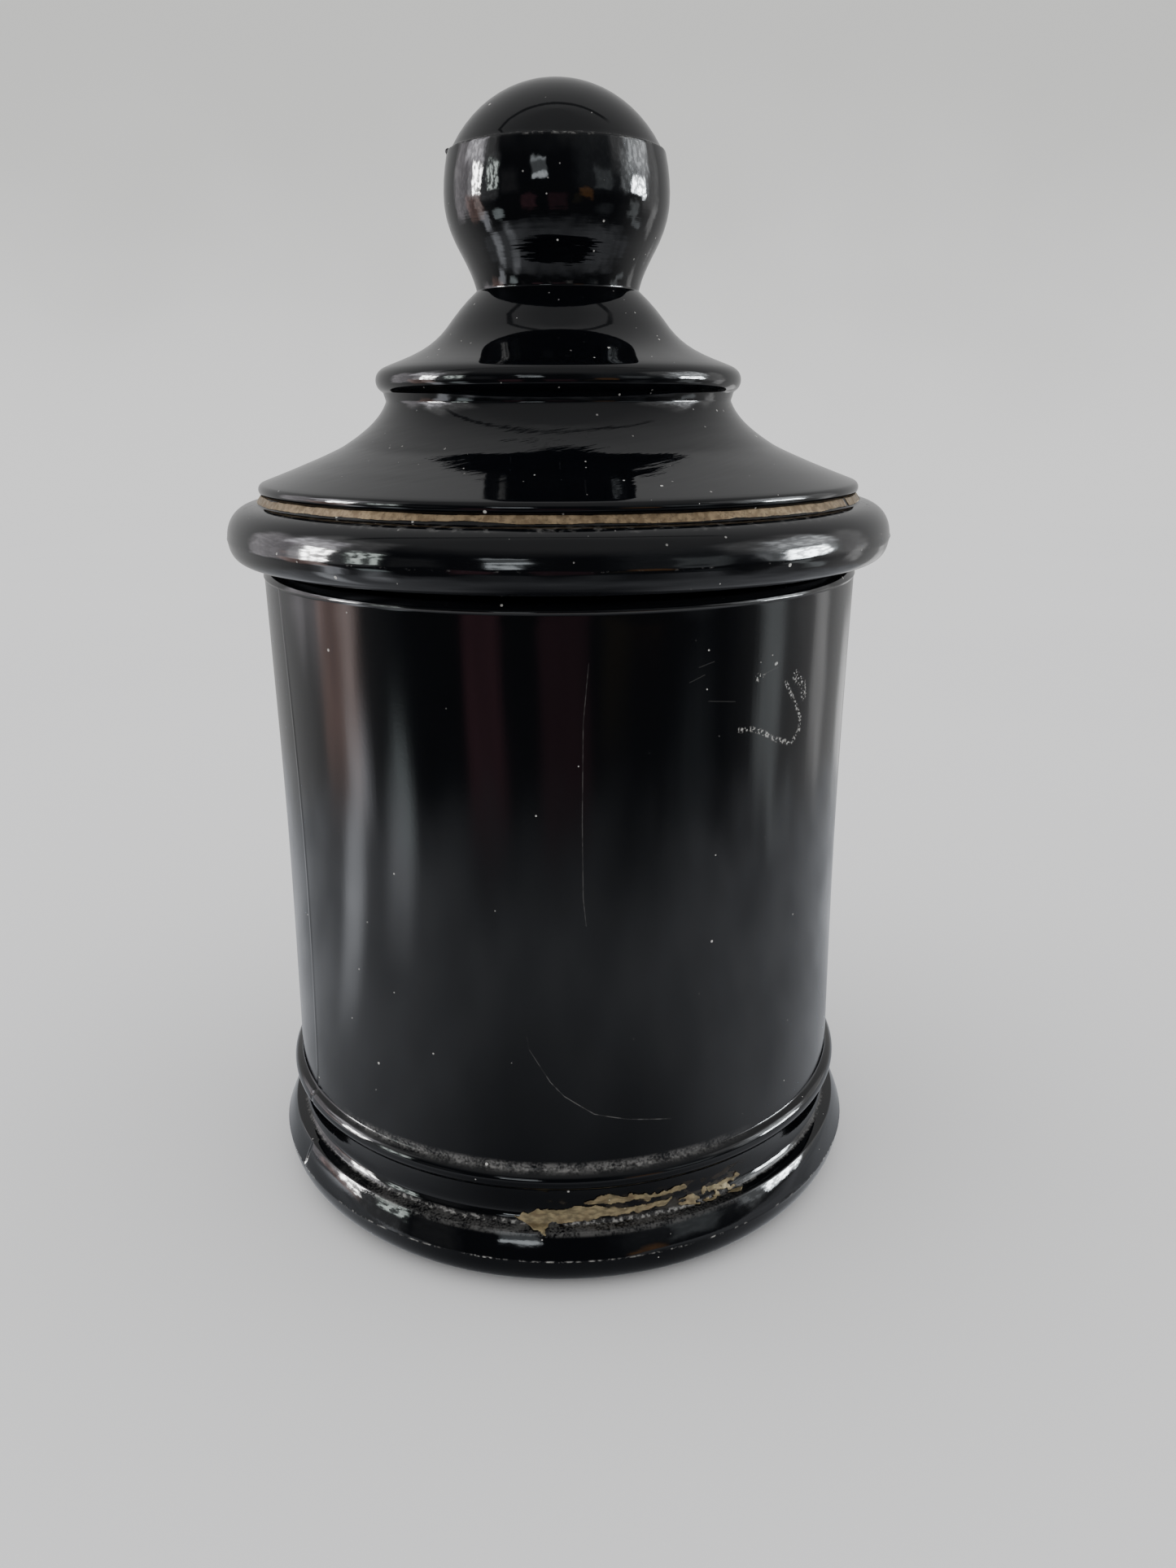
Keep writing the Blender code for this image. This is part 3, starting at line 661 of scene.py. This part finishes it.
def make_jar(material):
    under, hollow = jar_inside()
    outside = jar_outside()
    outline = np.vstack((hollow[::-1], outside[1:], under[1:]))
    seams = [(SEAM_AZIMUTH, 4, 0.16), (SEAM_AZIMUTH + 180, 4, 0.16)]
    foot_glints = [(-48, 14, 0.45), (50, 16, 0.45)]
    angles = turn_angles(288, seams + foot_glints)
    piece = new_piece("jar_glass", *turned(outline, angles, jar_relief), material, "jar", "black_glass")
    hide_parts("jar_body")


def skin(low, high, keep):
    """Vertices and faces of a thin closed skin over the cells of a grid that keep names.

    low holds the points next to the glass and high the same points one thickness out."""
    rows, columns = keep.shape
    used = np.zeros((rows + 1, columns + 1), bool)
    for down in (0, 1):
        for right in (0, 1):
            used[down:rows + down, right:columns + right] |= keep
    index = np.full(used.shape, -1)
    index[used] = np.arange(used.sum())
    total = int(used.sum())
    points = np.vstack((high[used], low[used]))
    faces = []
    padded = np.pad(keep, 1)
    for row, column in np.argwhere(keep):
        around = ((row, column), (row + 1, column), (row + 1, column + 1), (row, column + 1))
        corners = [int(index[at]) for at in around]
        faces.append(corners)
        faces.append([c + total for c in reversed(corners)])
        beside = (padded[row + 1, column], padded[row + 2, column + 1], padded[row + 1, column + 2],
                  padded[row, column + 1])
        for side, full in enumerate(beside):
            if not full:
                a, b = corners[side], corners[(side + 1) % 4]
                faces.append([b, a, a + total, b + total])
    return points, faces


def without_crumbs(keep, smallest):
    """The kept cells without patches smaller than smallest, and with no two meeting at only a corner."""
    keep = keep.copy()
    seen = np.zeros_like(keep)
    for start in map(tuple, np.argwhere(keep)):
        if seen[start]:
            continue
        patch, queue = [], [start]
        seen[start] = True
        while queue:
            cell = queue.pop()
            patch.append(cell)
            for move in ((0, 1), (1, 0), (0, -1), (-1, 0)):
                other = (cell[0] + move[0], cell[1] + move[1])
                inside = 0 <= other[0] < keep.shape[0] and 0 <= other[1] < keep.shape[1]
                if inside and keep[other] and not seen[other]:
                    seen[other] = True
                    queue.append(other)
        if len(patch) < smallest:
            for cell in patch:
                keep[cell] = False
    for _ in range(6):
        a, b, c, d = keep[:-1, :-1], keep[1:, 1:], keep[1:, :-1], keep[:-1, 1:]
        one = a & b & ~c & ~d
        other = c & d & ~a & ~b
        keep[1:, :-1] |= one
        keep[1:, 1:] |= other
    return keep


def grain(shape, seed, lumps):
    """Smooth seeded noise on a grid, about -1 to 1; lumps is their size in cells, down and across."""
    random = np.random.default_rng(seed)
    field = random.standard_normal(shape)
    for axis, lump in enumerate(lumps):
        reach = int(3 * lump) + 1
        kernel = np.exp(-0.5 * (np.arange(-reach, reach + 1) / lump) ** 2)
        kernel /= math.sqrt((kernel**2).sum())

        def blurred(line):
            return np.convolve(np.pad(line, reach, "wrap"), kernel, "valid")

        field = np.apply_along_axis(blurred, axis, field)
    return field


def in_outline(x, z, outline):
    """Which points lie inside a closed outline."""
    inside = np.zeros(x.shape, bool)
    for (x1, z1), (x2, z2) in zip(outline, outline[1:] + outline[:1]):
        crosses = (z1 > z) != (z2 > z)
        if z1 != z2:
            inside ^= crosses & (x < (x2 - x1) * (z - z1) / (z2 - z1) + x1)
    return inside


def make_gilt_line(material):
    """Gold paint on the slope under the lip, with ragged edges, thin spots and a few gaps."""
    top = arc(LIP_CENTRE, LIP_RADIUS, 70, -60)[-1]
    rows, columns = 30, 1500
    share = np.linspace(-0.06, 0.88, rows + 1)
    line = top + share[:, None] * (np.array(LEDGE_END) - top)
    angles = np.radians(np.linspace(-180, 180, columns + 1))
    out = np.array((0.78, 0.62))

    def standing_off(gap):
        radius = np.repeat(line[:, :1] + gap * out[0], columns + 1, 1)
        return on_turn(angles, radius, line[:, 1:] + gap * out[1] + 0 * angles)

    glass, paint = standing_off(0.03), standing_off(0.09)
    azimuth = np.degrees(angles[:-1])[None, :]
    at = ((share[1:] + share[:-1]) / 2)[:, None]
    rough_top = 0.03 + 0.02 * grain((1, columns), 31, (1, 9))
    rough_end = 0.80 + 0.03 * grain((1, columns), 33, (1, 14)) + 0.012 * grain((1, columns), 34, (1, 3))
    worn = grain((rows, columns), 35, (1.2, 3)) > 3.3
    gaps = ((azimuth > 60.5) & (azimuth < 62)) | ((azimuth > 76) & (azimuth < 77.5))
    keep = (at > rough_top) & (at < rough_end) & ~worn & ~gaps
    points, faces = skin(glass, paint, without_crumbs(keep, 25))
    piece = new_piece("gilt_line_paint", points, faces, material, "lid", "gold_paint")
    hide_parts("gilt_line")


def label_surface(azimuths, down, out):
    """Points over the band, the crease and the ledge, at distances down the glass and out from it."""
    path = finished(band_and_foot()[:4], fillet=0.13, turn_deg=2, longest=0.3)
    slope = np.gradient(path, axis=0)
    slope /= np.linalg.norm(slope, axis=1)[:, None]
    travelled = np.append(0, np.cumsum(np.linalg.norm(np.diff(path, axis=0), axis=1)))
    travelled -= travelled[np.argmin(np.abs(path[:, 1] - BAND[1]))]
    along_path = (path[:, 0], path[:, 1], -slope[:, 1], slope[:, 0])
    radius, height, toward_r, toward_z = (np.interp(down, travelled, v) for v in along_path)
    shape = (len(down), len(azimuths))
    r = np.broadcast_to(radius[:, None], shape) + toward_r[:, None] * out
    z = np.broadcast_to(height[:, None], shape) + toward_z[:, None] * out
    return on_turn(np.radians(azimuths), r, z)


def make_label(name, node, outline, azimuths, wear, seed, material):
    """A torn scrap of foil: wear(x, down, seed, cells) says which of its cells are left."""
    cell = 0.13
    across = np.arange(azimuths[0], azimuths[1], math.degrees(cell / 56.5))
    down = np.arange(-1.9, 6.6, cell)
    shape = (len(down), len(across))
    crumple = 0.5 + 0.5 * np.clip(grain(shape, seed + 1, (4, 8)), -1, 1)
    curl = np.clip((down - 3.2) / 2.6, 0, 1)[:, None] * 0.35  # the wedge stands off the ledge
    low = label_surface(across, down, 0.03 + 0.10 * crumple + curl)
    high = label_surface(across, down, 0.14 + 0.10 * crumple + curl)
    x = ((high[:-1, :-1] + high[1:, 1:]) / 2)[..., 0]
    at = np.broadcast_to(((down[1:] + down[:-1]) / 2)[:, None], x.shape)
    edge = 0.16 * grain(x.shape, seed + 2, (3, 3))
    keep = in_outline(x + edge, at + edge, outline) & wear(x, at, seed, x.shape)
    points, faces = skin(low, high, without_crumbs(keep, 14))
    piece = new_piece(name, points, faces, material, "jar", "gold_foil")
    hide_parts(node)


def label_wear(x, down, seed, cells):
    """Whole at the left end, and worn into two rows of blotches towards the right."""
    streak = 0.9 * grain(cells, seed + 3, (2.2, 6.5)) + 0.4 * grain(cells, seed + 4, (1.2, 2.2))
    rows = np.cos(2 * math.pi * (down - 2.2) / np.clip(3.9 - 0.15 * x, 2.3, 3.2))
    whole = np.clip((3.0 - x) / 4, 0, 1) + 0.25 * np.clip((10 - x) / 6, 0, 1)
    return streak + 1.7 * rows + 5 * whole > -0.25


def flake_wear(x, down, seed, cells):
    streak = grain(cells, seed + 3, (2.2, 5.0)) + 0.5 * grain(cells, seed + 4, (1.2, 2.2))
    return streak > -0.15


def give_material(nodes, material):
    for node in nodes:
        for holder in frame["nodes"][node].material_slots:
            holder.material = material


# Stage, light and camera

def angle_box(graph, azimuth, elevation, where, soft=3.0):
    """A soft-edged patch of directions; where is its lowest and highest azimuth and elevation."""
    left, right, bottom, top = where
    across = graph.between(azimuth, left, right, soft)
    return graph.product(across, graph.between(elevation, bottom, top, soft))


# Panels of light that only reflections see: azimuths and elevations, edge softness, brightness, how much
# foliage breaks it up, and tint
PANELS = (
    ((-93, -81.5, 1, 18), 2.5, 110, 0.95, (1.00, 1.00, 0.98)),  # left window
    ((-100, -84, 0, 28), 7, 3.0, 0.3, (1.02, 0.99, 1.03)),  # its reveal
    ((-104, -82, -18, 2), 6, 0.8, 0.4, (1.45, 0.85, 0.72)),  # brownish pink wall below it
    ((-91, -83, -18, 2), 4, 1.7, 0.3, (1.10, 0.98, 0.96)),
    ((-90, -80, -29, -16.5), 4.5, 2.6, 0.1, (0.96, 0.99, 1.07)),
    ((-106, -80, 19, 34), 7, 4.5, 0.6, (1.00, 0.98, 1.05)),  # the same window, higher up
    ((-124, -100, -10, 26), 8, 1.2, 0.3, (1.04, 0.97, 1.04)),
    ((-71, -60, -24.5, -18), 5, 2.6, 0.1, (0.90, 1.02, 1.04)),  # bluish light near the table
    ((-84, -62, -6, 24), 7, 0.6, 0.3, (0.98, 1.00, 1.02)),
    ((-73, -61, 3, 20), 3, 10, 0.95, (0.92, 1.04, 0.98)),  # second pane
    ((-108, -66, 22, 44), 12, 0.9, 0.3, (1.00, 1.00, 1.00)),
    ((-25, -11, 11, 22), 3, 1.1, 0.1, (0.93, 1.00, 1.04)),  # far window, its sill and lintel
    ((-25, -11, 10, 13), 2, 6.0, 0.1, (0.93, 1.00, 1.04)),
    ((-25, -11, 21, 23), 2, 3.0, 0.1, (0.93, 1.00, 1.04)),
    ((-58, -40, -2, 14), 8, 0.15, 0.2, (1.0, 1.0, 1.0)),
    ((80, 99, 0, 12), 3, 110, 0.85, (0.93, 1.00, 1.04)),  # right window
    ((78, 106, 14, 34), 9, 4.5, 0.6, (0.95, 1.00, 1.04)),  # the same window, higher up
    ((68, 104, 2, 24), 10, 2.2, 0.5, (0.95, 1.00, 1.03)),
    ((60, 106, 16, 40), 14, 0.9, 0.3, (1.00, 1.00, 1.00)),
    ((80, 92, -19, -6), 5, 1.1, 0.2, (0.93, 1.00, 1.02)),
    ((90, 104, -23, -18.5), 4, 1.0, 0.1, (0.92, 1.00, 1.04)),
    ((38, 57, 2, 16), 5, 0.6, 0.2, (0.92, 1.00, 1.03)),  # pale cupboard
    ((44, 58, -24, -14), 9, 0.22, 0.2, (0.92, 1.00, 1.06)),
    ((20, 70, 2, 40), 20, 0.18, 0.2, (0.95, 1.0, 1.05)),
    ((114, 124, -17, -2), 5, 0.8, 0.2, (1.0, 1.0, 1.0)),
    ((144, 160, -24, -11), 5, 0.7, 0.1, (1.0, 1.0, 1.0)),
    ((96, 122, -8, 26), 10, 0.5, 0.2, (1.0, 1.0, 1.0)),
    ((23, 35, -9, 2), 4, 0.5, 0.2, (1.5, 0.7, 0.2)),  # lamp
    ((-36, -22, -22, -6), 5, 0.22, 0.2, (1.55, 0.60, 0.75)),  # dark red chair, in three places
    ((-8, 10, -22, -6), 5, 0.13, 0.2, (1.55, 0.60, 0.75)),
    ((16, 24, -16, -6), 4, 0.07, 0.2, (1.3, 1.0, 0.4)),
)


def make_world():
    world = bpy.data.worlds.new("studio")
    bpy.context.scene.world = world
    world.use_nodes = True
    world.cycles.sampling_method = "NONE"
    graph = Graph(world.node_tree)
    ahead = graph.node("TexCoord").outputs["Generated"]
    x, y, z = graph.node("SeparateXYZ", {0: ahead}).outputs
    leaves = graph.ramp(graph.noise(ahead, 0.055, 3.0, 0.6), 0.44, 0.60)
    wavy = graph.node("TexNoise", {"Vector": ahead, "Scale": 7.0}).outputs["Color"]
    wobble = graph.node("SeparateXYZ", {0: wavy}).outputs
    azimuth = graph.math("DEGREES", graph.math("ARCTAN2", x, graph.math("MULTIPLY", y, -1)))
    azimuth = graph.total(azimuth, graph.ramp(wobble[0], 0.25, 0.75, -2.0, 2.0))
    elevation = graph.math("DEGREES", graph.math("ARCSINE", z))
    elevation = graph.total(elevation, graph.ramp(wobble[1], 0.25, 0.75, -1.5, 1.5))
    sideways = graph.math("ABSOLUTE", azimuth)
    off_beam = graph.vector("DOT_PRODUCT", ahead, (-0.036, 0.9925, -0.117), output=1)
    beam = graph.ramp(graph.math("ABSOLUTE", off_beam), 0.04, 0.015)
    beam = graph.product(beam, graph.ramp(elevation, 38, 44), graph.ramp(x, 0.55, 0.45), 0.75)
    ceiling = graph.ramp(elevation, 22, 52, 0.035, 0.36)
    behind = graph.ramp(sideways, 55, 125)
    ceiling = graph.product(ceiling, graph.math("SUBTRACT", 1.0, behind))
    room = graph.total(ceiling, graph.product(behind, 0.50))
    room = graph.product(room, graph.math("SUBTRACT", 1.0, beam))
    light = graph.node("CombineXYZ", {0: room, 1: room, 2: room}).outputs[0]
    for where, soft, level, leafy, tint in PANELS:
        patch = angle_box(graph, azimuth, elevation, where, soft)
        patch = graph.product(patch, graph.ramp(leaves, 0, 1, 1 - leafy, 1))
        glow = tuple(level * t for t in tint)
        light = graph.vector("ADD", light, graph.vector("SCALE", glow, None, patch))
    path = graph.node("LightPath").outputs
    again = graph.ramp(path["Glossy Depth"], 1.2, 1.8, 1.0, 0.05)
    light = graph.vector("SCALE", light, None, again)
    first_gloss = graph.product(path["Is Glossy Ray"], graph.math("LESS_THAN", path["Diffuse Depth"], 0.5))
    lit = graph.mix(first_gloss, (SOFT_LIGHT, SOFT_LIGHT, SOFT_LIGHT * 1.01, 1), light)
    floor_tone = (FLOOR_TONE, FLOOR_TONE, FLOOR_TONE, 1)
    wall = graph.mix(graph.ramp(elevation, -4, 14), floor_tone, WALL_TONE)
    seen = graph.mix(path["Is Camera Ray"], lit, wall)
    background = graph.node("Background", {"Color": seen, "Strength": 1.0})
    graph.node("OutputWorld", {"Surface": background.outputs[0]})


def make_plane(name, low, high, z, material):
    mesh = bpy.data.meshes.new(name)
    (x0, y0), (x1, y1) = low, high
    mesh.from_pydata([(x0, y0, z), (x1, y0, z), (x1, y1, z), (x0, y1, z)], [], [(0, 1, 2, 3)])
    mesh.materials.append(material)
    plane = bpy.data.objects.new(name, mesh)
    bpy.context.scene.collection.objects.link(plane)
    return plane


def make_floor():
    """A plain pale floor fading into the backdrop, and a glowing tabletop of painted light that only the
    glass reflects.
    """
    material, graph = new_material("pale_floor")
    point, *_, radius = graph.place()
    cloudy = graph.ramp(graph.noise(point, 300, 2.0), 0.3, 0.7, 0.83, 0.85)
    floor_colour = graph.node("CombineXYZ", {0: cloudy, 1: cloudy, 2: cloudy}).outputs[0]
    diffuse = graph.node("BsdfDiffuse", {"Color": floor_colour})
    clear = graph.node("BsdfTransparent")
    fade = graph.ramp(radius, 500, 2500)
    surface = graph.node("MixShader", {0: fade, 1: diffuse.outputs[0], 2: clear.outputs[0]})
    graph.node("OutputMaterial", {"Surface": surface.outputs[0]})
    floor = make_plane("floor", (-6, -6), (6, 6), 0.0, material)
    floor.visible_glossy = False

    # The tabletop seen in the glass is a glowing sheet. Its brightness is painted light; no lamp lights it.
    material, graph = new_material("glowing_tabletop_reflection")
    point, *_, azimuth, radius = graph.place()
    # Painted shadow: the glow is dimmest next to the foot. It is brighter to the sides, as painted window
    # light.
    level = graph.ramp(radius, 60, 190, 0.14, 0.48)
    sideways = graph.math("ABSOLUTE", azimuth)
    sides = graph.ramp(sideways, 15, 60)
    sides = graph.product(sides, graph.ramp(radius, 100, 200, 0.36, 0.16))
    # Painted glare of the left window and its second pane on the tabletop
    glare = graph.product(graph.between(azimuth, -85.5, -76, 6), graph.ramp(radius, 100, 220), 2.2)
    second = graph.product(graph.between(azimuth, -64, -54, 7), graph.ramp(radius, 160, 240), 1.2)
    cloudy = graph.ramp(graph.noise(point, 60, 3.0), 0.3, 0.7, 0.85, 1.15)
    # The glow also dims far out in front
    ahead = graph.product(graph.ramp(radius, 180, 260, 0, 0.4), graph.ramp(sideways, 55, 25))
    level = graph.product(level, graph.math("SUBTRACT", 1.0, ahead))
    strength = graph.product(graph.total(level, sides, glare, second), cloudy)
    emission = graph.node("Emission", {"Color": (0.96, 0.99, 1.05, 1), "Strength": strength})
    clear = graph.node("BsdfTransparent")
    edge = graph.total(radius, graph.ramp(graph.noise(point, 90, 2.0), 0.3, 0.7, -30, 30))
    fade = graph.ramp(edge, 225, 365)
    surface = graph.node("MixShader", {0: fade, 1: emission.outputs[0], 2: clear.outputs[0]})
    graph.node("OutputMaterial", {"Surface": surface.outputs[0]})
    table = make_plane("glowing_tabletop_reflection", (-0.5, -0.5), (0.5, 0.5), -0.0002, material)
    table.visible_camera = table.visible_diffuse = table.visible_shadow = False


def make_sun(name, azimuth_deg, elevation_deg, strength, spread_deg):
    lamp = bpy.data.lights.new(name, "SUN")
    lamp.energy = strength
    lamp.angle = math.radians(spread_deg)
    sun = bpy.data.objects.new(name, lamp)
    a, e = math.radians(azimuth_deg), math.radians(elevation_deg)
    toward = Vector((math.sin(a) * math.cos(e), -math.cos(a) * math.cos(e), math.sin(e)))
    sun.rotation_mode = "QUATERNION"
    sun.rotation_quaternion = toward.to_track_quat("Z", "Y")
    sun.visible_glossy = False
    bpy.context.scene.collection.objects.link(sun)


def make_camera():
    """Close in front of the jar, level with its upper half and looking down at it."""
    yaw, pitch, roll = (math.radians(a) for a in (CAMERA_YAW, CAMERA_PITCH, CAMERA_ROLL))
    ahead = Vector((math.sin(yaw), math.cos(yaw), 0))
    right = Vector((math.cos(yaw), -math.sin(yaw), 0))
    up = Vector((0, 0, 1))
    view = ahead * math.cos(pitch) - up * math.sin(pitch)
    tilted_up = up * math.cos(pitch) + ahead * math.sin(pitch)
    image_right = right * math.cos(roll) + tilted_up * math.sin(roll)
    image_up = tilted_up * math.cos(roll) - right * math.sin(roll)
    turn = Matrix((image_right, image_up, -view)).transposed().to_4x4()
    lens = bpy.data.cameras.new("camera")
    lens.sensor_width, lens.lens = SENSOR_WIDTH, LENS
    lens.clip_start, lens.clip_end = 0.01, 100
    camera = bpy.data.objects.new("camera", lens)
    camera.matrix_world = Matrix.Translation(Vector(CAMERA_PLACE) * MM) @ turn
    bpy.context.scene.collection.objects.link(camera)
    bpy.context.scene.camera = camera


make_camera()
make_world()
make_floor()
make_sun("left_daylight", -90, 40, 0.55, 70)
make_sun("right_daylight", 80, 35, 0.45, 70)

make_lid(lid_glass())
make_jar(jar_glass())
make_gilt_line(gold_paint())
foil = gold_foil()
make_label("label_foil", "label_remnant", LABEL_OUTLINE, (-11, 24), label_wear, 41, foil)
make_label("label_flake_foil", "label_flake", FLAKE_OUTLINE, (21, 37), flake_wear, 51, foil)

steel_finish, plastic_finish = steel(), plastic()
insert = frame["record"]["behaviour"]["bodies"]["insert"]
give_material([n for n in insert if not n.startswith("insert_foot")], steel_finish)
give_material([n for n in insert if n.startswith("insert_foot")], plastic_finish)
